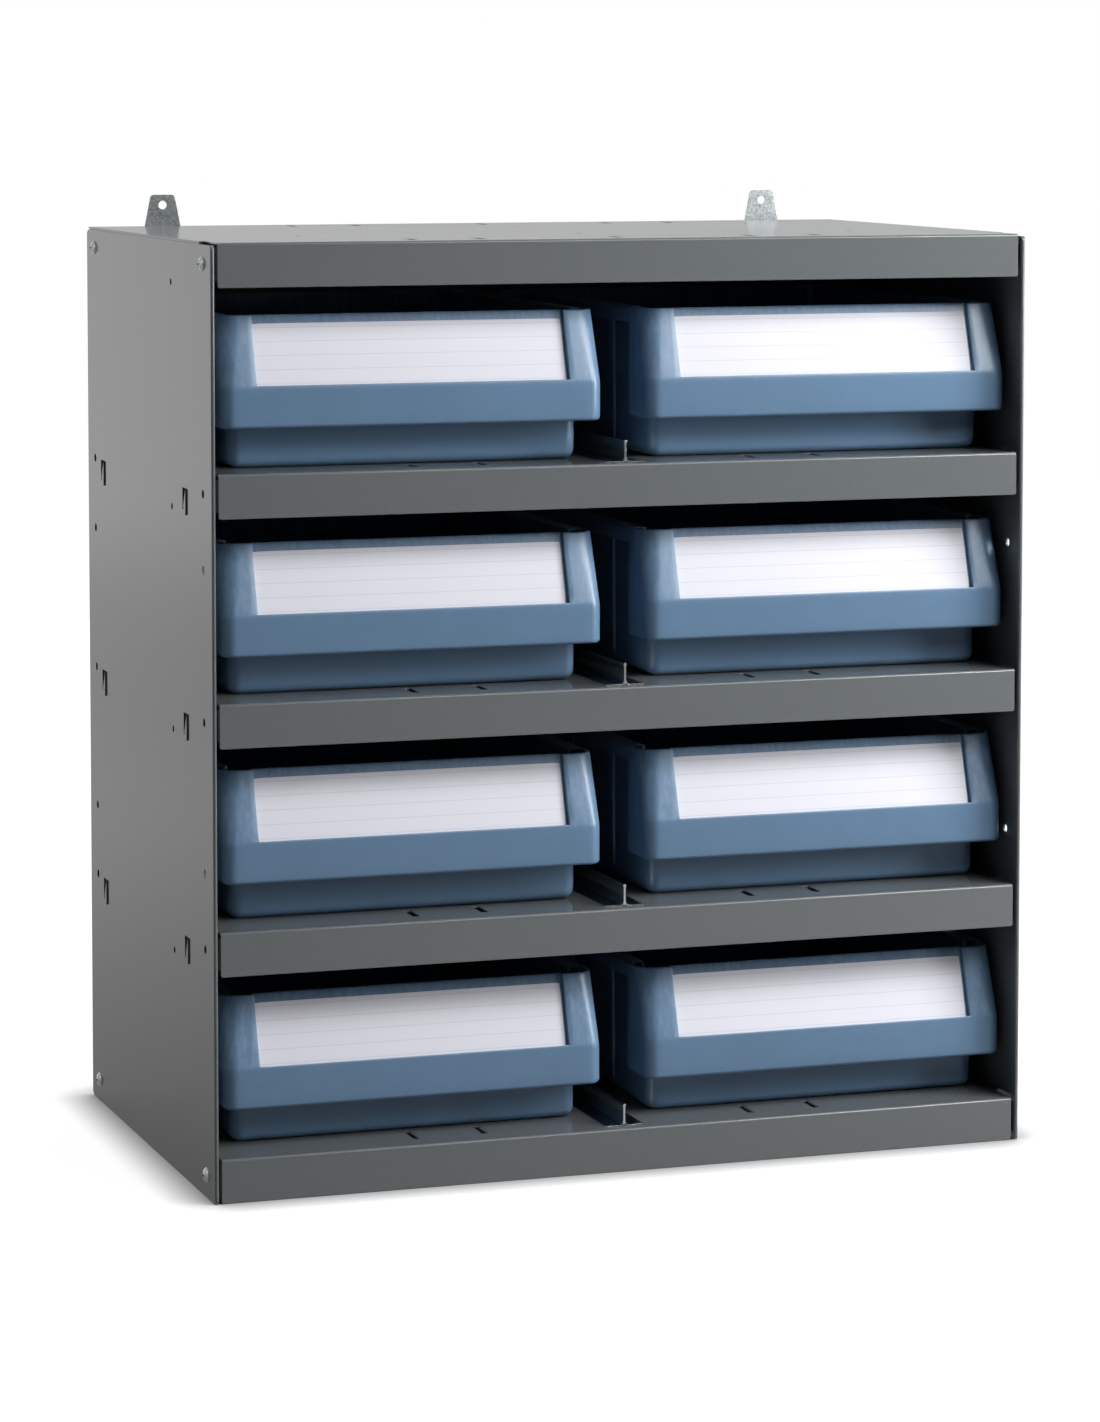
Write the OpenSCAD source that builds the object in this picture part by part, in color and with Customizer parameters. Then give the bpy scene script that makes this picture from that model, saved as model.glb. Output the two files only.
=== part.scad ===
// Open-fronted sheet-steel cabinet with two columns and four rows of plastic shelf bins.
// Front is -Y, up is +Z. The origin is the middle of the footprint, on the floor.

/* [Cabinet] */
// Room beside a bin in its column, both sides and the panels together
column_play = 22; // [20:1:60]
// Height left over a bin up to the next shelf surface
head_room = 43.5; // [40:0.5:90]
// Gap between the rear of a bin and the back panel
rear_gap = 3; // [2:0.5:20]

/* [Side panels] */
// Sheet thickness of the side panels
side_t = 1.2; // [0.8:0.1:1.6]
// Depth of the closed hem along the front edge
hem_d = 4; // [3:0.5:5]
// Width of the flange bent inwards along the rear edge
rear_flange_w = 14; // [12:1:20]
// Radius of the panel's front corners
panel_corner_r = 3; // [1:0.5:6]
// Radius of the panel's rear corners
panel_rear_r = 8; // [3:0.5:12]
// Drop of the panel's upper edge below the top
panel_drop = 1.5; // [0:0.1:2.5]
// Outside radius of the rear bend
panel_bend_r = 2.6; // [2:0.1:4]

/* [Shelf pressings] */
// Sheet thickness of the shelves, top and bottom
shelf_t = 1; // [0.8:0.1:1.4]
// Height of the front lip
lip_h = 26; // [22:0.5:32]
// Gap between a side panel's hem and the end of a lip
lip_gap = 2; // [1.2:0.1:3]
// Setback of the lip behind the hem's nose
lip_setback = 1.2; // [0.5:0.1:3]
// Outside radius of the bend along the top of the lip
lip_bend_r = 1.6; // [1.5:0.1:3]
// Radius of the lip's lower corners
lip_corner_r = 1.5; // [1:0.5:5]
// Height of the flanges at the sides
side_flange_h = 20; // [18:0.5:22]
// Height of the flange at the rear
rear_flange_h = 20; // [18:0.5:24]
// Reach of the return tabs behind the lip
tab_reach = 29; // [27:0.5:36]
// Width of the punched divider slots
slot_w = 4.2; // [2:0.1:6]
// Length of the punched divider slots
slot_l = 20; // [12:1:24]
// Distance of the divider slots from the front and rear edges
slot_inset = 16.5; // [10:0.5:24]
// Diameter of the small pilot holes
pilot_d = 4; // [2:0.5:5]
// Distance of the pilot holes from the side panels
pilot_x = 78; // [60:1:100]
// Distance of the pilot holes behind the front edge
pilot_y = 93; // [80:1:110]

/* [Screws] */
// Distance of the front screw column behind the front edge
screw_front = 20; // [16:0.5:22]
// Distance of the rear screw column before the rear edge
screw_rear = 21.5; // [14:0.5:26]
// Drop of the screw line below a shelf surface
screw_drop = 12.6; // [11:0.1:14]
// Thread diameter of the side screws
screw_d = 5; // [4:0.5:5]
// Diameter of the clearance holes for the side screws
screw_hole_d = 5.2; // [5.2:0.1:6]
// Head diameter of the side screws
screw_head_d = 9.2; // [8:0.1:11]
// Head height of the side screws
screw_head_h = 2.6; // [2:0.1:3.4]
// Length of each arm pair of the cross recess
cross_l = 4.4; // [3:0.1:6]
// Width of the cross recess
cross_w = 1; // [0.6:0.1:1.6]
// Size of the hex nuts across the flats
nut_af = 8; // [7:0.5:9]
// Height of the hex nuts
nut_h = 4; // [3:0.5:5]
// Length of thread beyond the nut
screw_end = 1; // [0.5:0.1:3]

/* [Shelf hooks] */
// Distance of the front hook slots behind the front edge
hook_front = 63; // [50:1:80]
// Distance of the rear hook slots before the rear edge
hook_rear = 42; // [36:1:60]
// Width of the hook slots
hook_slot_w = 10; // [8:0.5:14]
// Height of the hook slots
hook_slot_h = 13; // [11:0.5:14]
// Amount that a hook stands out of the side panel
hook_proud = 0.8; // [0.4:0.1:1.5]
// Clearance of a hook in its slot
hook_gap = 0.3; // [0.2:0.1:0.5]
// Reach of a hook's nose below its slot
hook_nose = 3; // [2:0.1:4]

/* [Back panel] */
// Sheet thickness of the back panel
back_t = 0.8; // [0.6:0.1:1.2]
// Gap between the back panel and the bends of the side panels
back_gap = 0.3; // [0.2:0.1:1]
// Diameter of the rivets
rivet_d = 4; // [3:0.2:4.8]
// Head diameter of the rivets
rivet_head_d = 7.5; // [6:0.1:9]
// Head height of the rivets
rivet_head_h = 0.9; // [0.6:0.1:1.4]
// Number of rivets along each rear flange
rivet_rows = 4; // [3:1:6]
// Distance of the end rivets from the top and bottom edges
rivet_end = 40; // [26:1:60]

/* [Wall tabs] */
// Sheet thickness of the wall tabs
tab_t = 1.2; // [1:0.1:2]
// Distance of a tab's middle from the nearer side panel's outer face
tab_x = 50; // [40:1:90]
// Width of a tab at its foot
tab_w = 23.5; // [20:0.5:30]
// Width of a tab at its top
tab_top_w = 16.5; // [12:0.5:20]
// Rise of a tab above the cabinet
tab_rise = 20; // [16:0.5:30]
// Length of a tab's foot below the cabinet's top
tab_foot = 24; // [22:1:40]
// Radius of a tab's top corners
tab_corner_r = 2.6; // [1:0.1:4]
// Diameter of the hanging hole
hang_d = 5.5; // [4.5:0.1:7]
// Drop of the hanging hole below the top of a tab
hang_drop = 6.6; // [5:0.1:9]

/* [Dividers] */
// Height of a divider's web above the shelf
div_h = 13.3; // [10:0.1:20]
// Thickness of the folded web
div_web_t = 1.2; // [1:0.1:1.6]
// Thickness of the flanges
div_flange_t = 0.6; // [0.5:0.1:1]
// Width across both flanges
div_flange_w = 24; // [18:0.5:30]
// Diameter of the rolled top edge
div_hem_d = 1.9; // [1.6:0.1:3]
// Distance of a divider's ends from the lip and from the back panel
div_end = 7; // [4:0.5:12]
// Depth of the clips that pass through the slots
div_clip_h = 6; // [3:0.5:10]
// Clearance at each end of a clip in its slot
clip_gap = 1; // [0.5:0.1:2]

/* [Bins] */
// Width of a bin across its hood
bin_w = 234; // [210:1:300]
// Length of a bin
bin_l = 291; // [260:1:400]
// Height of a bin
bin_h = 90; // [76:1:140]
// Wall thickness of a bin
bin_wall = 2.2; // [1.6:0.1:3]
// Distance of the hood's front behind the cabinet's front edge
bin_setback = 16; // [8:0.5:30]
// Clearance under a bin
bin_clear = 0.3; // [0.2:0.1:0.6]
// Sideways shift of the right bins from the middle of their column
right_shift = 6.5; // [-2:0.5:7]
// Amount that the hood overhangs the body at the front
overhang_front = 22; // [16:1:26]
// Amount that the hood overhangs the body at each side
overhang_side = 8.5; // [6:0.5:12]
// Height of the hood's lower edge
hood_z = 24.4; // [18:0.1:30]
// Height of the ledge where the sloping face starts
ledge_z = 47.5; // [42:0.5:54]
// Setback of the sloping face at its top
slope_run = 13.8; // [8:0.2:18]
// Reach of the hood along the sides
hood_reach = 36; // [30:1:60]
// Radius of the hood's upright corners
hood_corner_r = 8; // [4:0.5:12]
// Width of the bevel at the sloping face's corners, at the ledge
bevel_low = 4.6; // [3:0.1:5]
// Width of the same bevel at the top
bevel_high = 7.2; // [5:0.1:9]
// Radius of the hood's lower edge
hood_edge_r = 2.5; // [2.4:0.1:4]
// Radius of the body's upright corners
body_corner_r = 7; // [4:0.5:14]
// Radius of the body's lower edges
body_edge_r = 6; // [3:0.5:9]
// Height of the rim's outer skirt
rim_h = 9; // [6:0.5:14]
// Number of upright ribs on each side
rib_count = 3; // [2:1:3]
// Width of an upright rib
rib_w = 10; // [6:0.5:14]
// Depth of an upright rib
rib_t = 1.5; // [1:0.1:3]
// Diameter of the gate scar in the hood's lower edge
gate_d = 1.6; // [1:0.1:2.4]

/* [Labels] */
// Width of the side frames beside the label recess
frame_w = 21; // [16:0.5:28]
// Depth of the label recess
recess_d = 3; // [2:0.1:4]
// Height of the recess floor above the ledge
recess_lift = 2; // [1:0.1:3]
// Height of a label card
card_h = 38; // [28:0.5:40]
// Thickness of a label card
card_t = 0.4; // [0.2:0.1:0.6]
// Clearance at each end of a label card
card_gap = 1; // [0.5:0.1:2]

/* [Hidden] */
ROWS = 4;
SIDES = ["left", "right"];
$fn = 48;
eps = 0.01;

// width across the side panels, depth from the front edge to the rear flanges, and height from one
// shelf surface to the next, all laid out round the bins
cab_w = 2 * (bin_w + column_play);
cab_d = bin_setback + bin_l + rear_gap + back_t + side_t;
row_pitch = bin_h + head_room;
// overall height: the top panel's lip reaches down from the uppermost surface
cab_h = ROWS * row_pitch + lip_h;
// middle of the footprint, rivet heads included
mid_y = (cab_d + rivet_head_h) / 2;
// front face of the back panel, and front face of the panel's rear flange
flange_y = cab_d - side_t;
back_y = flange_y - back_t;
// ends of a lip, measured from a side panel's outer face
lip_x = 2 * side_t + lip_gap;
// start of the flat part of a return tab, clear of the hem
tab_start = hem_d + 4;
// bend relief left open between neighbouring flanges
relief = 2;
// start of the side flanges, behind the return tabs
flange_start = tab_reach + relief;
screw_ys = [screw_front, cab_d - screw_rear];
hook_ys = [hook_front, cab_d - hook_rear];
// levels of the unused screw holes: thirds and quarters of the open height
spare_levels = [for (k = [1:ROWS - 1]) k * row_pitch, for (k = [1:2]) k * ROWS / 3 * row_pitch];
// rivets: column in a side panel's rear flange, its spacing, and distance of the tab rivets from
// the edges of the top panel's rear flange
flange_rivet_x = (side_t + rear_flange_w) / 2;
tab_rivet_in = 0.7 * rivet_head_d;
rivet_pitch = (cab_h - 2 * rivet_end) / (rivet_rows - 1);
slot_xs = [for (f = [1 / 4, 1 / 3, 1 / 2, 2 / 3, 3 / 4]) f * cab_w];
// bins
body_w = bin_w - 2 * overhang_side;
// angle of the sloping face from upright, and its length
slope_a = atan(slope_run / (bin_h - ledge_z));
slope_len = norm([slope_run, bin_h - ledge_z]);
bevel_a = atan((slope_run + bevel_high - bevel_low) / sqrt(2) / (bin_h - ledge_z));
recess_w = bin_w - 2 * frame_w;
rib_pitch = (bin_l - hood_reach) / (rib_count + 0.4);
// amount that cuts through the open top reach past it
open_top = 10;

function surface_z(k) = lip_h + k * row_pitch;
function bin_x(side) = side == "left" ? cab_w / 4 : cab_w * 3 / 4 + right_shift;

// moves cabinet coordinates (left front lower corner) to the part's own origin
module placed() translate([-cab_w / 2, -mid_y, 0]) children();

// copies a left-hand shape to the right-hand side
module mirrored() translate([cab_w, 0, 0]) mirror([1, 0, 0]) children();

// rectangle from [0, 0] with four round corners
module round_rect(w, h, r) {
    translate([r, 0]) square([w - 2 * r, h]);
    translate([0, r]) square([w, h - 2 * r]);
    for (x = [r, w - r], y = [r, h - r]) translate([x, y]) circle(r);
}

// rectangle from [0, 0] with its two lower corners round
module cup_rect(w, h, r) {
    translate([r, 0]) square([w - 2 * r, h]);
    translate([0, r]) square([w, h - r]);
    for (x = [r, w - r]) translate([x, r]) circle(r);
}

// extrudes a shape drawn in Y and Z along X
module along_x(w) rotate([90, 0, 90]) linear_extrude(w) children();

// extrudes a shape drawn in X and Z along Y
module along_y(l) translate([0, l, 0]) rotate([90, 0, 0]) linear_extrude(l) children();

// hole across the sheet, drilled along X
module hole_x(d, l) rotate([0, 90, 0]) cylinder(d = d, h = l);

// ---- side panels ----

// plan of the folded sheet: hemmed nose, web and rear flange
module panel_plan() {
    translate([side_t, side_t]) circle(side_t);
    translate([0, side_t]) square([side_t, cab_d - side_t - panel_bend_r]);
    translate([side_t, side_t]) square([side_t, hem_d - side_t]);
    translate([panel_bend_r, cab_d - side_t]) square([rear_flange_w - panel_bend_r, side_t]);
    translate([panel_bend_r, cab_d - panel_bend_r]) intersection() {
        difference() {
            circle(panel_bend_r);
            circle(panel_bend_r - side_t);
        }
        translate([-panel_bend_r, 0]) square(panel_bend_r);
    }
}

module hook_slot(y, z) translate([-eps, y - hook_slot_w / 2, z - hook_slot_h])
    cube([side_t + 2 * eps, hook_slot_w, hook_slot_h]);

// side view: small radii in front, larger ones at the rear
module panel_outline(h) intersection() {
    round_rect(cab_d + panel_rear_r, h, panel_corner_r);
    translate([-panel_rear_r, 0]) round_rect(cab_d + panel_rear_r, h, panel_rear_r);
}

module side_panel() {
    panel_h = cab_h - panel_drop;
    difference() {
        intersection() {
            linear_extrude(panel_h) panel_plan();
            along_x(rear_flange_w) panel_outline(panel_h);
        }
        for (y = screw_ys, z = [0, ROWS * row_pitch])
            translate([-eps, y, lip_h - screw_drop + z]) hole_x(screw_hole_d, side_t + 2 * eps);
        for (y = screw_ys, z = spare_levels)
            translate([-eps, y, lip_h - screw_drop + z]) hole_x(screw_hole_d, side_t + 2 * eps);
        for (y = hook_ys, k = [1:ROWS - 1]) hook_slot(y, surface_z(k) - screw_drop);
        for (k = [1:ROWS])
            translate([-eps, pilot_y, surface_z(k) - lip_h]) hole_x(pilot_d, side_t + 2 * eps);
        for (z = rivet_zs())
            translate([flange_rivet_x, cab_d - side_t - eps, z]) rivet_hole(side_t);
    }
}

// ---- shelf pressings ----

// lip, bend and plate, drawn in Y and Z with the surface at Z = 0
module lip_section(front_y, rear_y) {
    translate([front_y, -lip_h]) square([shelf_t, lip_h - lip_bend_r]);
    translate([front_y + lip_bend_r, -shelf_t]) square([rear_y - front_y - lip_bend_r, shelf_t]);
    translate([front_y + lip_bend_r, -lip_bend_r]) intersection() {
        difference() {
            circle(lip_bend_r);
            circle(lip_bend_r - shelf_t);
        }
        translate([-lip_bend_r, 0]) square(lip_bend_r);
    }
}

// return tab behind the end of a lip, which carries the front screw
module return_tab() {
    translate([0, 0, -side_flange_h - relief]) linear_extrude(side_flange_h - shelf_t) polygon([
        [lip_x, lip_setback], [lip_x + shelf_t, lip_setback], [lip_x + shelf_t, lip_setback + shelf_t],
        [side_t + shelf_t, tab_start + 0.5], [side_t + shelf_t, tab_reach],
        [side_t, tab_reach], [side_t, tab_start]
    ]);
}

// wedge and nose that pass through a slot of the side panel, on a tongue of the side flange
module hook(y) {
    front = y - hook_slot_w / 2 + hook_gap;
    wedge_w = hook_slot_w / 2;
    foot = hook_gap - hook_slot_h;
    translate([-hook_proud, 0, -screw_drop]) along_x(side_t + hook_proud) polygon([
        [front, -hook_gap], [front + wedge_w, foot + 2 * shelf_t], [front + wedge_w - 1, foot], [front, foot]
    ]);
    translate([-hook_proud, front, -screw_drop + foot - hook_nose])
        cube([hook_proud, wedge_w - 1, hook_nose + hook_gap]);
    translate([side_t, front, -screw_drop + foot]) cube([shelf_t, wedge_w, hook_slot_h]);
}

module side_flange(hooked) {
    translate([side_t, flange_start, -side_flange_h])
        cube([shelf_t, back_y - flange_start - shelf_t - relief, side_flange_h]);
    if (hooked) for (y = hook_ys) hook(y);
}

// one pressing with its surface at Z = 0
module pressing(hooked) {
    plate_w = cab_w - 2 * lip_x;
    difference() {
        union() {
            translate([lip_x, 0, 0]) intersection() {
                along_x(plate_w) lip_section(lip_setback, back_y);
                translate([0, 0, -lip_h]) along_y(back_y) cup_rect(plate_w, lip_h, lip_corner_r);
            }
            translate([side_t, flange_start, -shelf_t])
                cube([cab_w - 2 * side_t, back_y - flange_start, shelf_t]);
            translate([rear_flange_w + relief, back_y - shelf_t, -rear_flange_h])
                cube([cab_w - 2 * (rear_flange_w + relief), shelf_t, rear_flange_h]);
            side_flange(hooked);
            return_tab();
            mirrored() {
                side_flange(hooked);
                return_tab();
            }
        }
        for (x = slot_xs, y = [slot_inset, back_y - slot_inset - slot_l])
            translate([x - slot_w / 2, y, -shelf_t - eps]) cube([slot_w, slot_l, shelf_t + 2 * eps]);
        for (x = [pilot_x, cab_w / 2, cab_w - pilot_x])
            translate([x, pilot_y, -shelf_t - eps]) cylinder(d = pilot_d, h = shelf_t + 2 * eps);
        for (y = screw_ys) translate([-eps, y, -screw_drop]) hole_x(screw_hole_d, cab_w + 2 * eps);
    }
}

module shelf(k) color("dimgray") placed() translate([0, 0, surface_z(k)]) pressing(true);

module top_panel() color("dimgray") placed() translate([0, 0, cab_h]) difference() {
    pressing(false);
    for (x = tab_xs(), z = tab_rivet_zs())
        translate([x, back_y - shelf_t - eps, z]) rivet_hole(shelf_t);
}

module bottom_panel() color("dimgray") placed() translate([0, 0, lip_h]) pressing(false);

module left_side_panel() color("slategray") placed() side_panel();

module right_side_panel() color("slategray") placed() mirrored() side_panel();

// ---- back panel, rivets and wall tabs ----

function rivet_zs() = [for (i = [0:rivet_rows - 1]) rivet_end + i * rivet_pitch];
function tab_rivet_zs() = [-tab_rivet_in, tab_rivet_in - rear_flange_h];
function tab_xs() = [tab_x, cab_w - tab_x];

module rivet_hole(t) rotate([-90, 0, 0]) cylinder(d = rivet_d, h = t + 2 * eps);

module rivet(reach) rotate([-90, 0, 0]) {
    translate([0, 0, -reach]) cylinder(d = rivet_d - 0.1, h = reach);
    intersection() {
        cylinder(d = rivet_head_d, h = rivet_head_h);
        dome(rivet_head_d, rivet_head_h);
    }
}

// cap of a ball with the given base diameter and height
module dome(d, h) {
    r = (d * d / 4 + h * h) / (2 * h);
    translate([0, 0, h - r]) intersection() {
        sphere(r);
        translate([-d, -d, r - h]) cube([2 * d, 2 * d, h]);
    }
}

module back_panel() color("dimgray") placed() difference() {
    translate([panel_bend_r + back_gap, back_y, back_gap])
        cube([cab_w - 2 * (panel_bend_r + back_gap), back_t, cab_h - 2 * back_gap]);
    for (x = [flange_rivet_x, cab_w - flange_rivet_x], z = rivet_zs())
        translate([x, back_y - eps, z]) rivet_hole(back_t);
    for (x = tab_xs(), z = tab_rivet_zs()) translate([x, back_y - eps, cab_h + z]) rivet_hole(back_t);
}

module wall_tab() difference() {
    translate([0, flange_y, cab_h]) along_y(tab_t) {
        polygon([
            [-tab_w / 2, -tab_foot], [tab_w / 2, -tab_foot], [tab_w / 2, 0],
            [tab_top_w / 2, tab_rise - tab_corner_r], [tab_top_w / 2 - tab_corner_r, tab_rise],
            [tab_corner_r - tab_top_w / 2, tab_rise], [-tab_top_w / 2, tab_rise - tab_corner_r],
            [-tab_w / 2, 0]
        ]);
        for (s = [-1, 1]) translate([s * (tab_top_w / 2 - tab_corner_r), tab_rise - tab_corner_r])
            circle(tab_corner_r);
    }
    translate([0, flange_y - eps, cab_h + tab_rise - hang_drop]) rotate([-90, 0, 0])
        cylinder(d = hang_d, h = tab_t + 2 * eps);
    for (z = tab_rivet_zs()) translate([0, flange_y - eps, cab_h + z]) rivet_hole(tab_t);
}

module left_wall_tab() color("silver") placed() translate([tab_x, 0, 0]) wall_tab();

module right_wall_tab() color("silver") placed() mirrored() translate([tab_x, 0, 0]) wall_tab();

module back_rivets() color("silver") placed()
    for (x = [flange_rivet_x, cab_w - flange_rivet_x], z = rivet_zs())
        translate([x, cab_d, z]) rivet(side_t + back_t);

module tab_rivets() color("silver") placed() for (x = tab_xs(), z = tab_rivet_zs())
    translate([x, flange_y + tab_t, cab_h + z]) rivet(tab_t + back_t + shelf_t);

// ---- screws and nuts ----

// screw through a side panel, its head outside, pointing to +X
module side_screw() {
    difference() {
        rotate([0, -90, 0]) dome(screw_head_d, screw_head_h);
        for (a = [0, 90]) rotate([a, 0, 0]) translate([-screw_head_h, -cross_l / 2, -cross_w / 2])
            cube([screw_head_h / 2, cross_l, cross_w]);
    }
    hole_x(screw_d, side_t + shelf_t + nut_h + screw_end);
}

module side_nut() translate([side_t + shelf_t, 0, 0]) difference() {
    rotate([0, 90, 0]) cylinder(d = nut_af / cos(30), h = nut_h, $fn = 6);
    translate([-eps, 0, 0]) hole_x(screw_d + 0.1, nut_h + 2 * eps);
}

// places one fastener at each of the eight screw positions
module at_screws() for (y = screw_ys, z = [lip_h - screw_drop, cab_h - screw_drop]) {
    translate([0, y, z]) children();
    mirrored() translate([0, y, z]) children();
}

module side_screws() color("gainsboro") placed() at_screws() side_screw();

module side_nuts() color("silver") placed() at_screws() side_nut();

// ---- dividers ----

// rolled edge, folded web and flanges, drawn in X and Z with the shelf surface at Z = 0
module divider_section() {
    translate([-div_web_t / 2, 0]) square([div_web_t, div_h - div_hem_d / 2]);
    translate([0, div_h - div_hem_d / 2]) circle(d = div_hem_d);
    translate([-div_flange_w / 2, 0]) square([div_flange_w, div_flange_t]);
    foot = 2 * div_web_t;
    polygon([[-foot, 0], [foot, 0], [div_web_t / 2, foot], [-div_web_t / 2, foot]]);
}

module divider(k) color("silver") placed() translate([cab_w / 2, 0, surface_z(k - 1)]) {
    front = lip_setback + div_end;
    translate([0, front, 0]) along_y(back_y - div_end - front) divider_section();
    for (y = [slot_inset, back_y - slot_inset - slot_l])
        translate([-div_web_t / 2, y + clip_gap, -div_clip_h])
            cube([div_web_t, slot_l - 2 * clip_gap, div_clip_h]);
}

// ---- bins ----

// hood seen from the side: Y from the hood's front, Z from the bin's base
module hood_side(inset, edge_r) {
    top = bin_h + (inset > 0 ? 1 : 0);
    slope_y = inset / cos(slope_a);
    low = hood_z + inset;
    knee = ledge_z + inset * tan(slope_a / 2);
    top_y = slope_y + (top - ledge_z) * tan(slope_a);
    polygon([
        [inset + edge_r, low], [hood_reach, low], [hood_reach, top], [top_y, top],
        [inset, ledge_z - (inset - slope_y) / tan(slope_a)], [inset, low + edge_r]
    ]);
    translate([inset + edge_r, low + edge_r]) circle(edge_r);
}

// space outside the bevels at the sloping face's corners
module bevels(inset) for (s = [0, 1]) mirror([s, 0, 0])
    translate([bin_w / 2 - bevel_low, 0, ledge_z]) rotate([0, 0, 45]) rotate([-bevel_a, 0, 0])
        translate([-hood_reach, inset - bin_h, -bin_h]) cube([2 * hood_reach, bin_h, 2 * bin_h]);

// hood as a solid, its walls drawn in by inset
module hood_block(inset) {
    w = bin_w - 2 * inset;
    r = hood_corner_r - inset;
    difference() {
        intersection() {
            translate([-w / 2, 0, 0]) along_x(w) hood_side(inset, max(hood_edge_r - inset, 0.3));
            translate([-w / 2, inset, 0]) linear_extrude(bin_h + 2) cup_rect(w, hood_reach - 2 * inset, r);
        }
        bevels(inset);
    }
}

// body as a solid from the floor up, its walls drawn in by inset
module body_block(inset) {
    w = body_w - 2 * inset;
    l = bin_l - overhang_front - 2 * inset;
    h = bin_h + (inset > 0 ? 1 : 0) - inset;
    r = body_edge_r - inset;
    translate([-w / 2, overhang_front + inset, inset]) intersection() {
        linear_extrude(h) round_rect(w, l, body_corner_r - inset);
        along_x(w) cup_rect(l, h, r);
        along_y(l) cup_rect(w, h, r);
    }
}

// turned-down rim along both sides and the rear ends of the walls
module rim() for (s = [0, 1]) mirror([s, 0, 0]) {
    start = hood_reach - bin_wall;
    translate([body_w / 2 - eps, start, bin_h - bin_wall])
        cube([overhang_side + eps, bin_l - body_corner_r - start, bin_wall]);
    translate([bin_w / 2 - bin_wall, start, bin_h - rim_h])
        cube([bin_wall, bin_l - body_corner_r - start, rim_h]);
}

module ribs() for (s = [0, 1], i = [0:rib_count - 1]) mirror([s, 0, 0]) {
    y = hood_reach + (i + 0.7) * rib_pitch;
    translate([body_w / 2 - eps, y - rib_w / 2, body_edge_r])
        cube([rib_t + eps, rib_w, bin_h - body_edge_r - bin_wall]);
}

// frame of the sloping face: X across, Y into the bin, Z up along the face
module on_slope() translate([0, 0, ledge_z]) rotate([-slope_a, 0, 0]) children();

module recess(grow) on_slope()
    translate([-recess_w / 2 - grow, -hood_edge_r, recess_lift - grow])
        cube([recess_w + 2 * grow, hood_edge_r + recess_d + grow, slope_len + open_top]);

// one bin, its hood's front at Y = 0 and its base at Z = 0
module bin_solid() difference() {
    union() {
        hood_block(0);
        body_block(0);
        rim();
        ribs();
    }
    difference() {
        union() {
            hood_block(bin_wall);
            body_block(bin_wall);
        }
        intersection() {
            recess(bin_wall);
            hood_block(0);
        }
    }
    recess(0);
    // scar left by the mould's gate
    translate([0, 0, hood_z]) rotate([-90, 0, 0]) cylinder(d = gate_d, h = bin_wall / 2, $fn = 24);
}

module at_bin(side, k) placed()
    translate([bin_x(side), bin_setback, surface_z(k - 1) + bin_clear]) children();

module bin(side, k) color("steelblue") at_bin(side, k) bin_solid();

module label(side, k) color("white") at_bin(side, k) on_slope()
    translate([-recess_w / 2 + card_gap, recess_d - card_t, recess_lift])
        cube([recess_w - 2 * card_gap, card_t, card_h]);

left_side_panel();
right_side_panel();
back_panel();
top_panel();
bottom_panel();
for (k = [1:ROWS - 1]) shelf(k);
for (k = [1:ROWS]) divider(k);
left_wall_tab();
right_wall_tab();
for (s = SIDES, k = [1:ROWS]) bin(s, k);
for (s = SIDES, k = [1:ROWS]) label(s, k);
side_screws();
side_nuts();
back_rivets();
tab_rivets();
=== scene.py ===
"""Looks of the parts bin cabinet: powder-coated sheet steel, zinc fittings, moulded blue bins."""

import math

import bmesh
import bpy
from mathutils import Matrix, Vector


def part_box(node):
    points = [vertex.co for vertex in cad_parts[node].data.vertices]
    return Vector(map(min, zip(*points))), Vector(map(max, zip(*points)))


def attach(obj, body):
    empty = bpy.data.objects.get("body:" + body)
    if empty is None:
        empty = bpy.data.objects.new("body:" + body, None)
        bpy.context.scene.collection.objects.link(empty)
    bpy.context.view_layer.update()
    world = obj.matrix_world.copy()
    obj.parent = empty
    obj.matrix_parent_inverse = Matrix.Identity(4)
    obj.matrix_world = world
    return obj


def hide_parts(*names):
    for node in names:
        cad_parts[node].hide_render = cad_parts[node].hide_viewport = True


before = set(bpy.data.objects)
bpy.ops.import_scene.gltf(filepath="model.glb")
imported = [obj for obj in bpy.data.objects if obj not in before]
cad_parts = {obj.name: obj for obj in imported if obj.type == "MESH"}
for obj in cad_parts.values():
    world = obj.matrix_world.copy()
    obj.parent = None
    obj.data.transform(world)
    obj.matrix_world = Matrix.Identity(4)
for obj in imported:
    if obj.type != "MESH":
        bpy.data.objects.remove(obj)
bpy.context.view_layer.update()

MM = 0.001
SIDES = ("left", "right")
ROWS = (1, 2, 3, 4)

# ---- sizes of the bins in millimetres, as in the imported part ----
BIN_W = 234.0
BIN_L = 291.0
BIN_H = 90.0
WALL = 2.2
OVERHANG_FRONT = 22.0
OVERHANG_SIDE = 8.5
HOOD_Z = 24.4
LEDGE_Z = 47.5
SLOPE_RUN = 13.8
HOOD_REACH = 36.0
HOOD_CORNER = 8.0
TOP_CORNER = 13.0
HOOD_EDGE = 2.5
BODY_CORNER = 7.0
BODY_EDGE = 6.0
RIM_H = 9.0
RIB_W = 10.0
RIB_T = 1.5
RIB_COUNT = 3
FRAME_W = 21.0
RECESS_D = 3.0
RECESS_LIFT = 2.0
CARD_H = 38.0
CARD_T = 0.4
CARD_GAP = 1.0

# ---- finer sizes in millimetres that only the scene has ----
DRAFT = 0.8
KNEE_SOFTNESS = 0.45
KNEE_REACH = 8.0
TOP_ROUND = 0.6
SMOOTH_UNDER_DEG = 35.0

SLOPE = math.atan(SLOPE_RUN / (BIN_H - LEDGE_Z))
RECESS_HALF = BIN_W / 2 - FRAME_W
BODY_HALF = BIN_W / 2 - OVERHANG_SIDE

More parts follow.
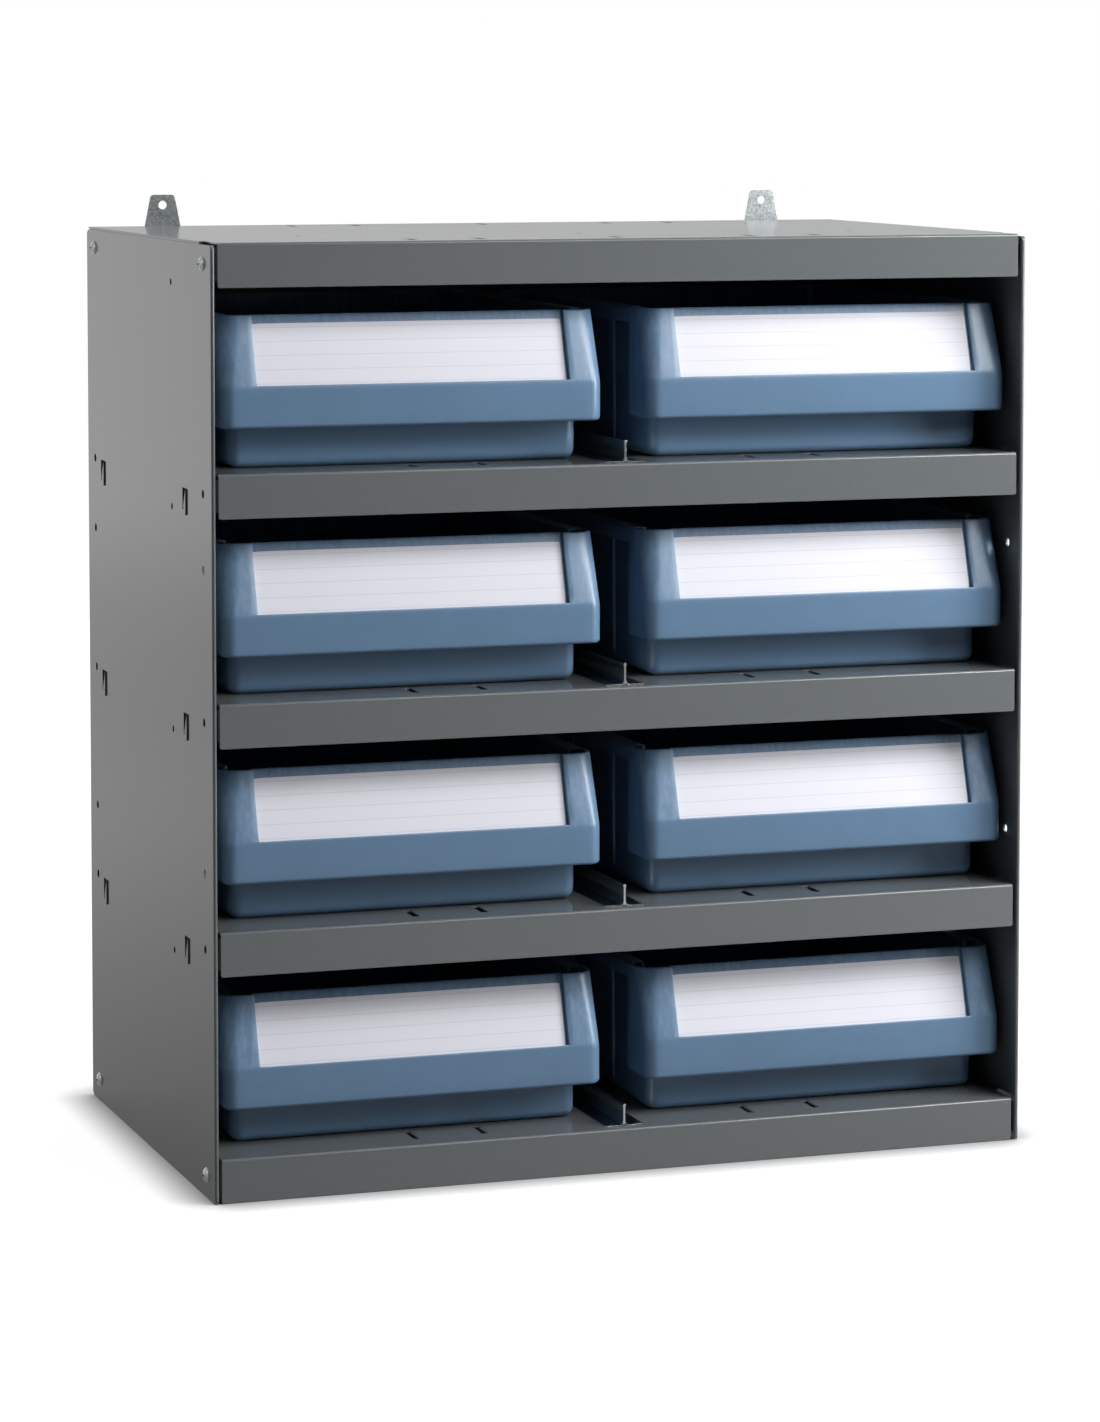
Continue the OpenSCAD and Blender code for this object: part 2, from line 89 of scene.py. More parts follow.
# ---- stage, in metres ----
MIDDLE = (0.0, 0.0, 0.28)
FLOOR_HALF = 20.0
FLOOR_DROP = 0.0002
FLOOR_COLOUR = (0.26, 0.26, 0.26)
SHADOW_COLOUR = (0.25, 0.25, 0.25)
FLOOR_GLOW = 0.95
SHADOW_REACH = 0.03
SHADOW_DEPTH = 2.0
CLEAR_FROM, CLEAR_TO = 0.5, 1.8
FOOT_MARGIN = 0.002
WHITE_SIDE = (-0.50, 0.866, 0.0)
BACK_GREY = 0.59
SKY = 0.02

# ---- camera: fitted to the photograph's edges ----
CAMERA_PLACE = (-0.9171, -2.6811, 0.6522)
CAMERA_YAW = 18.949
CAMERA_PITCH = -4.340
CAMERA_ROLL = -0.025
CAMERA_LENS = 115.01
CAMERA_SHIFT = -0.2


# ======== small helpers ========

def new_object(name, mesh):
    obj = bpy.data.objects.new(name, mesh)
    bpy.context.scene.collection.objects.link(obj)
    return obj


def mesh_from(name, bm):
    """Turns a bmesh drawn in millimetres into a smooth-shaded mesh in metres."""
    bmesh.ops.remove_doubles(bm, verts=bm.verts, dist=0.002)
    bmesh.ops.recalc_face_normals(bm, faces=bm.faces)
    bmesh.ops.transform(bm, matrix=Matrix.Scale(MM, 4), verts=bm.verts)
    mesh = bpy.data.meshes.new(name)
    bm.to_mesh(mesh)
    bm.free()
    mesh.shade_smooth()
    mesh.set_sharp_from_angle(angle=math.radians(SMOOTH_UNDER_DEG))
    return mesh


def arc(cx, cy, r, start_deg, end_deg, steps):
    """Points on an arc, both ends included."""
    out = []
    for i in range(steps + 1):
        a = math.radians(start_deg + (end_deg - start_deg) * i / steps)
        out.append((cx + r * math.cos(a), cy + r * math.sin(a)))
    return out


def spread(a, b, n):
    """n points from just after a up to and including b."""
    return [a + (b - a) * (i + 1) / n for i in range(n)]


def quarter(steps):
    """Steps through a quarter turn, each as one minus its cosine and one minus its sine."""
    angles = [math.radians(90.0 * i / steps) for i in range(steps + 1)]
    return [(1 - math.cos(a), 1 - math.sin(a)) for a in angles]


def skin(bm, rings):
    """Faces between closed rings of equal length, with the end rings filled."""
    made = [[bm.verts.new(p) for p in ring] for ring in rings]
    for low, high in zip(made, made[1:]):
        for i in range(len(low)):
            j = (i + 1) % len(low)
            bm.faces.new((low[i], low[j], high[j], high[i]))
    bm.faces.new(made[0][::-1])
    bm.faces.new(made[-1])


# ======== node helpers ========

class Nodes:
    """A material's node tree with short calls for the nodes used here."""

    def __init__(self, name="", tree=None, output="ShaderNodeOutputMaterial"):
        if tree is None:
            self.material = bpy.data.materials.new(name)
            self.material.use_nodes = True
            tree = self.material.node_tree
        self.tree = tree
        self.tree.nodes.clear()
        self.out = self.add(output)

    def add(self, kind, **settings):
        node = self.tree.nodes.new(kind)
        for key, value in settings.items():
            setattr(node, key, value)
        return node

    def link(self, a, b):
        self.tree.links.new(a, b)

    def put(self, socket, value):
        """Links a socket to another, or writes a plain value on it."""
        if isinstance(value, bpy.types.NodeSocket):
            self.link(value, socket)
        else:
            socket.default_value = value

    def coords(self):
        """Places in the object's own metres."""
        return self.add("ShaderNodeTexCoord").outputs["Object"]

    def seed(self):
        """A number that differs from object to object."""
        info = self.add("ShaderNodeObjectInfo")
        return self.math("MULTIPLY", info.outputs["Random"], 37.0)

    def math(self, op, a, b=0.0, c=0.0):
        node = self.add("ShaderNodeMath", operation=op)
        for socket, value in zip(node.inputs, (a, b, c)):
            self.put(socket, value)
        return node.outputs[0]

    def fade(self, value, start, end, low, high):
        """Smooth step from low at start to high at end."""
        node = self.add("ShaderNodeMapRange", interpolation_type="SMOOTHSTEP")
        self.link(value, node.inputs["Value"])
        for name, number in (("From Min", start), ("From Max", end), ("To Min", low), ("To Max", high)):
            node.inputs[name].default_value = number
        return node.outputs["Result"]

    def noise(self, vector, scale, detail=3.0, rough=0.5, seed=0.0, stretch=(1, 1, 1)):
        mapping = self.add("ShaderNodeMapping")
        mapping.inputs["Scale"].default_value = stretch
        self.link(vector, mapping.inputs["Vector"])
        node = self.add("ShaderNodeTexNoise", noise_dimensions="4D")
        self.link(mapping.outputs[0], node.inputs["Vector"])
        self.put(node.inputs["W"], seed)
        node.inputs["Scale"].default_value = scale
        node.inputs["Detail"].default_value = detail
        node.inputs["Roughness"].default_value = rough
        return node.outputs["Fac"]

    def ramp(self, value, *stops):
        """Colour ramp from (position, grey or colour) stops."""
        node = self.add("ShaderNodeValToRGB")
        band = node.color_ramp
        while len(band.elements) < len(stops):
            band.elements.new(0.5)
        for element, (place, colour) in zip(band.elements, stops):
            element.position = place
            if not hasattr(colour, "__len__"):
                colour = (colour,) * 3
            element.color = (*colour, 1.0)
        self.link(value, node.inputs["Fac"])
        return node.outputs["Color"]

    def mix(self, fac, a, b, blend="MIX"):
        node = self.add("ShaderNodeMix", data_type="RGBA", blend_type=blend)
        for socket, value in zip((node.inputs[0], node.inputs[6], node.inputs[7]), (fac, a, b)):
            if isinstance(value, tuple):
                value = (*value[:3], 1.0)
            self.put(socket, value)
        return node.outputs[2]

    def bump(self, height, distance, strength=1.0, normal=None):
        node = self.add("ShaderNodeBump")
        node.inputs["Strength"].default_value = strength
        node.inputs["Distance"].default_value = distance
        self.link(height, node.inputs["Height"])
        if normal is not None:
            self.link(normal, node.inputs["Normal"])
        return node.outputs[0]

    def soft_edges(self, radius):
        """Normals that round every sharp edge by a small radius."""
        node = self.add("ShaderNodeBevel", samples=4)
        node.inputs["Radius"].default_value = radius
        return node.outputs[0]

    def surface(self, **inputs):
        shader = self.add("ShaderNodeBsdfPrincipled")
        for key, value in inputs.items():
            socket = shader.inputs[key.replace("_", " ")]
            if isinstance(value, tuple):
                value = (*value[:3], 1.0)
            self.put(socket, value)
        self.link(shader.outputs[0], self.out.inputs["Surface"])
        return self.material


# ======== materials ========

def powder_coat(name, colour):
    """Semi-gloss powder coat: faint mottling, fine pigment grain and a shallow orange peel."""
    n = Nodes(name)
    at, seed = n.coords(), n.seed()
    cloud = n.noise(at, 7.0, 3.0, 0.5, seed)
    grain = n.noise(at, 1500.0, 2.0, 0.6, seed)
    peel = n.noise(at, 620.0, 2.0, 0.5, seed)
    base = n.mix(cloud, tuple(c * 0.97 for c in colour), tuple(c * 1.03 for c in colour))
    base = n.mix(1.0, base, n.ramp(grain, (0.34, 0.92), (0.50, 1.0), (0.72, 1.06)), "MULTIPLY")
    rough = n.math("MULTIPLY_ADD", cloud, 0.05, 0.11)
    edge = n.soft_edges(0.0005)
    normal = n.bump(peel, 0.00004, 0.08, edge)
    normal = n.bump(grain, 0.00001, 0.10, normal)
    return n.surface(Base_Color=base, Roughness=rough, IOR=1.52, Normal=normal)


def zinc_sheet(name, colour):
    """Zinc-coated sheet: a fine speckle of crystals, short rolling marks and dull patches."""
    n = Nodes(name)
    at, seed = n.coords(), n.seed()
    cells = n.add("ShaderNodeTexVoronoi", voronoi_dimensions="4D")
    cells.inputs["Scale"].default_value = 1300.0
    n.link(at, cells.inputs["Vector"])
    n.link(seed, cells.inputs["W"])
    split = n.add("ShaderNodeSeparateColor")
    n.link(cells.outputs["Color"], split.inputs[0])
    facet = split.outputs[0]
    lines = n.noise(at, 1100.0, 3.0, 0.6, seed, stretch=(0.25, 1.0, 1.0))
    dull = n.noise(at, 90.0, 4.0, 0.6, seed)
    base = n.mix(facet, tuple(c * 0.68 for c in colour), tuple(min(1.0, c * 1.24) for c in colour))
    base = n.mix(1.0, base, n.ramp(lines, (0.35, 0.80), (0.52, 1.0), (0.70, 1.10)), "MULTIPLY")
    rough = n.math("MULTIPLY_ADD", facet, 0.06, 0.27)
    rough = n.math("MULTIPLY_ADD", dull, 0.05, rough)
    edge = n.soft_edges(0.0003)
    normal = n.bump(facet, 0.00003, 0.3, edge)
    normal = n.bump(lines, 0.00001, 0.2, normal)
    return n.surface(Base_Color=base, Roughness=rough, Metallic=1.0, Normal=normal)


def bright_zinc(name, colour):
    """Bright-plated fasteners: smooth, with faint turning marks and tarnish."""
    n = Nodes(name)
    at, seed = n.coords(), n.seed()
    tarnish = n.noise(at, 500.0, 4.0, 0.6, seed)
    marks = n.noise(at, 2400.0, 2.0, 0.5, seed)
    base = n.mix(n.ramp(tarnish, (0.42, 0.0), (0.75, 0.6)), colour, tuple(c * 0.72 for c in colour))
    rough = n.math("MULTIPLY_ADD", tarnish, 0.10, 0.11)
    normal = n.bump(marks, 0.00002, 0.3, n.soft_edges(0.0003))
    return n.surface(Base_Color=base, Roughness=rough, Metallic=1.0, Normal=normal)


def bin_plastic(name, colour):
    """Moulded polypropylene: flow streaks, fine texture, scuffs, and upright rougher streaks on the sloping
    face whose lighter, whitish colour is a painted streaky highlight.
    """
    n = Nodes(name)
    at, seed = n.coords(), n.seed()
    flow = n.noise(at, 14.0, 4.0, 0.55, seed, stretch=(1.0, 2.0, 0.35))
    mottle = n.noise(at, 60.0, 5.0, 0.62, seed)
    grain = n.noise(at, 2200.0, 2.0, 0.5, seed)
    scratch = n.noise(at, 75.0, 7.0, 0.72, seed, stretch=(0.25, 1.0, 3.0))
    base = n.mix(flow, tuple(c * 0.90 for c in colour), tuple(min(1.0, c * 1.10) for c in colour))
    base = n.mix(n.ramp(mottle, (0.35, 0.0), (0.75, 0.45)), base, tuple(c * 0.86 for c in colour))
    marks = n.ramp(scratch, (0.61, 0.0), (0.70, 1.0))
    base = n.mix(n.math("MULTIPLY", marks, 0.13), base, tuple(min(1.0, c * 1.5 + 0.05) for c in colour))
    split = n.add("ShaderNodeSeparateXYZ")
    n.link(at, split.inputs[0])
    on_face = n.fade(split.outputs["Z"], LEDGE_Z * MM, (LEDGE_Z + 2.0) * MM, 0.0, 1.0)
    drawn = n.noise(at, 420.0, 4.0, 0.6, seed, stretch=(1.0, 1.0, 0.02))
    streak_and_painted_sheen = n.math("MULTIPLY", n.ramp(drawn, (0.42, 0.0), (0.66, 1.0)), on_face)
    # Painted streaky highlight: on the sloping face the streaks lighten the colour towards a whitish blue;
    # the roughness they add below is real.
    base = n.mix(n.math("MULTIPLY", streak_and_painted_sheen, 0.45), base, tuple(min(1.0, c * 1.35 + 0.05) for c in colour))
    rough = n.math("MULTIPLY_ADD", mottle, 0.08, 0.27)
    rough = n.math("MULTIPLY_ADD", streak_and_painted_sheen, 0.08, rough)
    rough = n.math("ADD", rough, n.math("MULTIPLY", marks, 0.10))
    normal = n.bump(grain, 0.00004, 0.35)
    normal = n.bump(mottle, 0.00025, 0.12, normal)
    return n.surface(Base_Color=base, Roughness=rough, IOR=1.50, Normal=normal)


# places of the writing lines below the card's upper edge in millimetres, their half width and
# the pitch of their dots in metres
LINE_PLACES = (2.5, 10.9, 19.4, 28.0, 36.5)
LINE_HALF = 0.00022
DOT_PITCH = 0.0014


def card_paper(name, colour, ink):
    """White card with fibres and five faint dotted writing lines."""
    n = Nodes(name)
    at, seed = n.coords(), n.seed()
    fibre = n.noise(at, 900.0, 4.0, 0.65, seed, stretch=(1.0, 1.0, 3.0))
    tone = n.noise(at, 18.0, 3.0, 0.5, seed)
    split = n.add("ShaderNodeSeparateXYZ")
    n.link(at, split.inputs[0])
    across, up = split.outputs["X"], split.outputs["Z"]
    ruled = None
    for place in LINE_PLACES:
        off = n.math("ABSOLUTE", n.math("SUBTRACT", up, (CARD_H - place) * MM))
        line = n.math("LESS_THAN", off, LINE_HALF)
        ruled = line if ruled is None else n.math("MAXIMUM", ruled, line)
    dots = n.math("GREATER_THAN", n.math("SINE", n.math("MULTIPLY", across, 2 * math.pi / DOT_PITCH)), -0.3)
    facing = n.math("MULTIPLY", ruled, dots)
    base = n.mix(tone, tuple(c * 0.97 for c in colour), colour)
    base = n.mix(n.ramp(fibre, (0.40, 0.0), (0.80, 0.30)), base, tuple(c * 0.95 for c in colour))
    base = n.mix(n.math("MULTIPLY", facing, 0.55), base, ink)
    normal = n.bump(fibre, 0.00003, 0.5)
    return n.surface(Base_Color=base, Roughness=0.72, Specular_IOR_Level=0.30, Normal=normal)


GREY = (0.144, 0.157, 0.163)
ZINC = (0.56, 0.60, 0.61)
SCREW_ZINC = (0.46, 0.48, 0.49)
SHEET_ZINC = (0.66, 0.69, 0.70)
BLUE = (0.131, 0.229, 0.361)
CARD = (0.82, 0.82, 0.895)
CARD_INK = (0.50, 0.42, 0.50)

grey_paint = powder_coat("grey_powder_coat", GREY)
coated_sheet = zinc_sheet("zinc_coated_sheet", ZINC)
plated_steel = bright_zinc("plated_fastener", SCREW_ZINC)
divider_sheet = bright_zinc("bright_divider_sheet", SHEET_ZINC)
blue_bin = bin_plastic("blue_bin_plastic", BLUE)
white_card = card_paper("ruled_card", CARD, CARD_INK)


def dress(node, material):
    """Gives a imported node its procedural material."""
    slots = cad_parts[node].data.materials
    slots.clear()
    slots.append(material)


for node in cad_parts:
    if node.endswith("wall_tab"):
        dress(node, coated_sheet)
    elif node.startswith("divider"):
        dress(node, divider_sheet)
    elif node in ("side_screws", "side_nuts", "back_rivets", "tab_rivets"):
        dress(node, plated_steel)
    elif not node.startswith(("bin", "label")):
        dress(node, grey_paint)


# ======== bins ========

def front_y(z, inset=0.0):
    """Place of the hood's front face at a height: upright band, soft knee, sloping face."""
    band = inset
    slope = (z - LEDGE_Z) * math.tan(SLOPE) + inset / math.cos(SLOPE)
    if abs(slope - band) >= KNEE_REACH:
        return max(band, slope)
    return KNEE_SOFTNESS * math.log(math.exp(band / KNEE_SOFTNESS) + math.exp(slope / KNEE_SOFTNESS))


RECESS_EDGE = ((-0.35, 1.0), (-0.05, 0.78), (0.0, 0.25), (0.18, 0.06), (0.55, 0.0))
FRONT_STEPS = 8
CORNER_STEPS = 8


def half_ring(z, hood, inset=0.0, edge=0.0, depth=0.0):
    """Right-hand half of a level line round the bin, from the front's middle to the rear's.

    hood: whether the line runs round the hood or round the body alone. inset: how far it is
    drawn in all round. edge: how far the hood alone is drawn in. depth: depth of the label recess.
    """
    draft = DRAFT * (1 - z / BIN_H)
    body = BODY_HALF - draft - inset
    rear = BIN_L - draft - inset
    body_r = max(BODY_CORNER - inset, 1.0)
    if hood:
        half, front = BIN_W / 2 - inset - edge, front_y(z, inset) + edge
        rise = max(0.0, z - LEDGE_Z) / (BIN_H - LEDGE_Z)
        corner = max(HOOD_CORNER + (TOP_CORNER - HOOD_CORNER) * rise - inset - edge, 1.0)
        reach = HOOD_REACH - inset
    else:
        half, front = body, OVERHANG_FRONT + draft + inset
        corner = body_r
        reach = HOOD_REACH
    pts = []
    back, drop = depth * math.cos(SLOPE), depth * math.sin(SLOPE)
    if z > BIN_H - 0.9:
        back, drop = depth / math.cos(SLOPE), 0.0
    for i in range(FRONT_STEPS + 1):
        pts.append(((RECESS_HALF - 0.8) * i / FRONT_STEPS, front + back, z - drop))
    for dx, share in RECESS_EDGE:
        pts.append((RECESS_HALF + dx, front + back * share, z - drop * share))
    start = half - corner
    grow = RECESS_HALF + RECESS_EDGE[-1][0]
    if start > grow:
        for x in spread(grow, start, 3)[:-1]:
            pts.append((x, front, z))
    else:
        for i in range(2):
            pts.append((grow + 0.01 * (i + 1), front, z))
        start = max(start, grow + 0.03)
    for x, y in arc(half - corner, front + corner, corner, -90, 0, CORNER_STEPS):
        pts.append((max(x, start), y, z))
    turn = 1.2
    for y in spread(front + corner, reach - turn, 3):
        pts.append((half, y, z))
    if hood:
        for x, y in arc(half - turn, reach - turn, turn, 0, 90, 3)[1:]:
            pts.append((x, y, z))
        pts.append((body + 0.8, reach, z))
        pts.append((body, reach + 0.6, z))
    else:
        for i in range(5):
            pts.append((body, reach - turn + (turn + 0.6) * (i + 1) / 5, z))
    for y in spread(HOOD_REACH + 0.6, rear - body_r, 8):
        pts.append((body, y, z))
    for x, y in arc(body - body_r, rear - body_r, body_r, 0, 90, CORNER_STEPS)[1:]:
        pts.append((x, y, z))
    for x in spread(body - body_r, 0.0, 5):
        pts.append((x, rear, z))
    return pts


def ring(*args, **kwargs):
    """A whole level line: the right-hand half and its mirror image."""
    half = half_ring(*args, **kwargs)
    return half + [(-x, y, z) for x, y, z in half[-2:0:-1]]


def shell_rings():
    """Level lines of a bin from the outside of its floor, over the rim, to the inside of its floor."""
    rings = []
    for turned, upright in quarter(6):
        rings.append(ring(BODY_EDGE * turned + 0.001, False, inset=BODY_EDGE * upright))
    for z in (12.0, 18.0, HOOD_Z - 0.6, HOOD_Z):
        rings.append(ring(z, False))
    for turned, upright in quarter(4):
        rings.append(ring(HOOD_Z + HOOD_EDGE * turned, True, edge=HOOD_EDGE * upright))
    for z in (33.0, 40.0, 45.0, 46.3, 46.9, 47.4, 47.9, 48.5):
        rings.append(ring(z, True))
    floor = LEDGE_Z + RECESS_LIFT * math.cos(SLOPE)
    rings.append(ring(floor - 0.35, True))
    rings.append(ring(floor - 0.05, True, depth=0.15))
    rings.append(ring(floor, True, depth=0.6))
    rings.append(ring(floor, True, depth=RECESS_D))
    for z in (53.0, 59.0, 65.0, 71.0, 77.0, 83.0, BIN_H - 1.0, BIN_H - TOP_ROUND):
        rings.append(ring(z, True, depth=RECESS_D))
    for turned, upright in quarter(3)[1:]:
        z, inset = BIN_H - TOP_ROUND * upright, TOP_ROUND * turned
        rings.append(ring(z, True, inset=inset, depth=RECESS_D))
    for turned, upright in quarter(3)[:-1]:
        z, inset = BIN_H - TOP_ROUND * turned, WALL - TOP_ROUND * upright
        rings.append(ring(z, True, inset=inset, depth=RECESS_D))
    for z in (BIN_H - TOP_ROUND, 80.0, 70.0, 60.0, floor - 2.0):
        rings.append(ring(z, True, inset=WALL, depth=RECESS_D))
    for z in (floor - 4.5, 44.0, 36.0, HOOD_Z + WALL + 1.0):
        rings.append(ring(z, True, inset=WALL))
    rings.append(ring(HOOD_Z + WALL, True, inset=WALL, edge=1.0))
    rings.append(ring(HOOD_Z + WALL, False, inset=WALL))
    for z in (18.0, 10.0):
        rings.append(ring(z, False, inset=WALL))
    inner = BODY_EDGE - WALL
    for turned, upright in quarter(4):
        rings.append(ring(WALL + inner * upright, False, inset=WALL + inner * turned))
    return rings


def add_rims(bm):
    """Turned-down rims along both side walls: flat top, rounded outer edge, skirt."""
    inner, outer = BODY_HALF - 0.3, BIN_W / 2
    top, r = BIN_H - 0.05, 1.2
    profile = [(inner, top - WALL), (outer - WALL, top - WALL), (outer - WALL, BIN_H - RIM_H + 0.4)]
    profile += arc(outer - WALL + 0.4, BIN_H - RIM_H + 0.4, 0.4, 180, 270, 2)[1:]
    profile += arc(outer - 0.4, BIN_H - RIM_H + 0.4, 0.4, 270, 360, 2)
    profile += arc(outer - r, top - r, r, 0, 90, 4)
    profile += [(inner, top)]
    start, end = HOOD_REACH - WALL, BIN_L - BODY_CORNER
    steps = ((start, 0.0), (start + 60, 0.0), (start + 120, 0.0), (start + 180, 0.0), (end - 1.2, 0.0),
             (end - 0.35, 0.35), (end, 1.2))
    for side in (1, -1):
        rings = []
        for y, pull in steps:
            rings.append([(side * max(inner, x - pull * (x > outer - WALL)), y, z) for x, z in profile])
        skin(bm, rings)


def add_ribs(bm):
    """Upright ribs on both side walls, with rounded faces and run-out ends."""
    pitch = (BIN_L - HOOD_REACH) / (RIB_COUNT + 0.4)
    half = RIB_W / 2
    for side in (1, -1):
        for k in range(RIB_COUNT):
            y = HOOD_REACH + (k + 0.7) * pitch
            rings = []
            for z, full in ((BODY_EDGE - 1.0, 0.05), (BODY_EDGE + 2.0, 0.8), (BODY_EDGE + 5.0, 1.0),
                            (40.0, 1.0), (BIN_H - WALL - 0.2, 1.0)):
                face = BODY_HALF - DRAFT * (1 - z / BIN_H)
                out = min(RIB_T * full, BODY_HALF + RIB_T - face)
                line = [(face - 0.5, y - half), (face, y - half)]
                line += [(face + out * 0.7, y - half + 0.7), (face + out, y - half + 2.0)]
                line += [(face + out, y + half - 2.0), (face + out * 0.7, y + half - 0.7)]
                line += [(face, y + half), (face - 0.5, y + half)]
                rings.append([(side * px, py, z) for px, py in line])
            skin(bm, rings)


def add_gate(bm):
    """Small nib that the mould's gate leaves under the hood's front edge."""
    rings = []
    for z, r in ((HOOD_Z + 0.3, 0.9), (HOOD_Z - 0.1, 0.85), (HOOD_Z - 0.4, 0.6), (HOOD_Z - 0.5, 0.25)):
        rings.append([(r * math.cos(t), 2.9 + r * math.sin(t), z)
                      for t in (2 * math.pi * i / 14 for i in range(14))])
    skin(bm, rings)


def bin_mesh():
    """A whole bin: shell, rims, ribs and the gate's nib."""
    bm = bmesh.new()
    skin(bm, shell_rings())
    add_rims(bm)
    add_ribs(bm)
    add_gate(bm)
    return mesh_from("bin_shell", bm)


# ======== label cards ========

def card_mesh(bow):
    """Thin card with rounded corners, bowed a little towards the front; its lower edge is at Z = 0."""
    half_w, r = RECESS_HALF - CARD_GAP, 0.8
    bm = bmesh.new()
    nx, nz = 36, 8
    xs = [-half_w + 2 * half_w * i / nx for i in range(nx + 1)]
    zs = [CARD_H * j / nz for j in range(nz + 1)]
    rows = {}
    for layer, offset in (("front", 0.0), ("back", CARD_T)):
        for i, x in enumerate(xs):
            for j, z in enumerate(zs):
                cut = r * 0.3 if i in (0, nx) and j in (0, nz) else 0.0
                lift = bow * (1 - (x / half_w) ** 2) * (0.4 + 0.6 * z / CARD_H)
                px = x - math.copysign(cut, x)
                pz = z + (cut if j == 0 else -cut if j == nz else 0.0)
                rows[layer, i, j] = bm.verts.new((px, offset - lift, pz))
    for i in range(nx):
        for j in range(nz):
            corners = ((i, j), (i + 1, j), (i + 1, j + 1), (i, j + 1))
            bm.faces.new([rows["front", a, b] for a, b in corners])
            bm.faces.new([rows["back", a, b] for a, b in reversed(corners)])
    edge = [(i, 0) for i in range(nx)] + [(nx, j) for j in range(nz)]
    edge += [(i, nz) for i in range(nx, 0, -1)] + [(0, j) for j in range(nz, 0, -1)]
    for a, b in zip(edge, edge[1:] + edge[:1]):
        bm.faces.new((rows["front", *a], rows["back", *a], rows["back", *b], rows["front", *b]))
    return mesh_from("card", bm)


# shift in mm (below zero is to the left), turn in degrees and bow in mm of each card
CARD_LIE = {
    ("left", 1): (-0.6, 0.05, 0.25), ("left", 2): (-0.5, -0.04, 0.15),
    ("left", 3): (-0.7, 0.06, 0.30), ("left", 4): (-0.6, 0.00, 0.20),
    ("right", 1): (-0.7, 0.05, 0.20), ("right", 2): (-0.4, -0.05, 0.30),
    ("right", 3): (-0.6, 0.04, 0.15), ("right", 4): (-0.7, 0.06, 0.25),
}

shell = bin_mesh()
shell.materials.append(blue_bin)

for side in SIDES:
    for row in ROWS:
        low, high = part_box(f"bin_{side}_{row}")
        origin = Vector(((low.x + high.x) / 2, low.y, low.z))
        body = f"{side}_bin_{row}"

        tub = new_object(f"moulded_bin_{side}_{row}", shell)
        tub.location = origin
        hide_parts(f"bin_{side}_{row}")
        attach(tub, body)

        shift, turn, bow = CARD_LIE[side, row]
        card = new_object(f"ruled_card_{side}_{row}", card_mesh(bow))
        card.data.materials.append(white_card)
        tilt = Matrix.Rotation(-SLOPE, 4, "X")
        seat = Matrix.Translation(Vector((shift, RECESS_D - CARD_T - 0.05, RECESS_LIFT + 0.15)) * MM)
        card.matrix_world = (Matrix.Translation(origin + Vector((0, 0, LEDGE_Z * MM))) @ tilt @ seat
                             @ Matrix.Rotation(math.radians(turn), 4, "Y"))
        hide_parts(f"label_{side}_{row}")
        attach(card, body)


# ======== stage, lights and camera ========

def floor_material():
    """Pale floor. The camera sees it white, with a soft shade where the object stands."""
    n = Nodes("studio_floor")
    spot = n.add("ShaderNodeNewGeometry").outputs["Position"]
    path = n.add("ShaderNodeLightPath")
    seen = n.math("MAXIMUM", path.outputs["Is Camera Ray"], path.outputs["Is Transmission Ray"])
    away = n.add("ShaderNodeVectorMath", operation="LENGTH")
    n.link(spot, away.inputs[0])
    open_sky = n.add("ShaderNodeAmbientOcclusion", samples=16)
    open_sky.inputs["Distance"].default_value = SHADOW_REACH
    shade = n.math("POWER", open_sky.outputs["AO"], SHADOW_DEPTH)
    split = n.add("ShaderNodeSeparateXYZ")
    n.link(spot, split.inputs[0])
    low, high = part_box("left_side_panel")
    off_middle = n.math("SUBTRACT", split.outputs["Y"], (low.y + high.y) / 2)
    beside = n.math("GREATER_THAN", n.math("ABSOLUTE", split.outputs["X"]), -low.x - FOOT_MARGIN)
    before = n.math("GREATER_THAN", n.math("ABSOLUTE", off_middle), (high.y - low.y) / 2 - FOOT_MARGIN)
    shade = n.math("MULTIPLY", shade, n.math("MAXIMUM", beside, before))
    white = n.fade(away.outputs["Value"], CLEAR_FROM, CLEAR_TO, FLOOR_GLOW, 1.0)
    for_camera = n.math("MULTIPLY", shade, white)
    behind = n.add("ShaderNodeVectorMath", operation="DOT_PRODUCT")
    n.link(spot, behind.inputs[0])
    behind.inputs[1].default_value = WHITE_SIDE
    for_gloss = n.math("ADD", n.fade(behind.outputs["Value"], -0.3, 1.5, 0.25, 0.58),
                       n.fade(behind.outputs["Value"], 1.8, 4.5, 0.0, 0.42))
    strength = n.math("MULTIPLY", seen, for_camera)
    strength = n.math("MULTIPLY_ADD", path.outputs["Is Glossy Ray"], for_gloss, strength)
    glow = n.add("ShaderNodeEmission")
    n.link(strength, glow.inputs["Strength"])
    diffuse = n.add("ShaderNodeBsdfDiffuse")
    n.link(n.mix(seen, FLOOR_COLOUR, SHADOW_COLOUR), diffuse.inputs["Color"])
    both = n.add("ShaderNodeAddShader")
    n.link(diffuse.outputs[0], both.inputs[0])
    n.link(glow.outputs[0], both.inputs[1])
    n.link(both.outputs[0], n.out.inputs["Surface"])
    return n.material


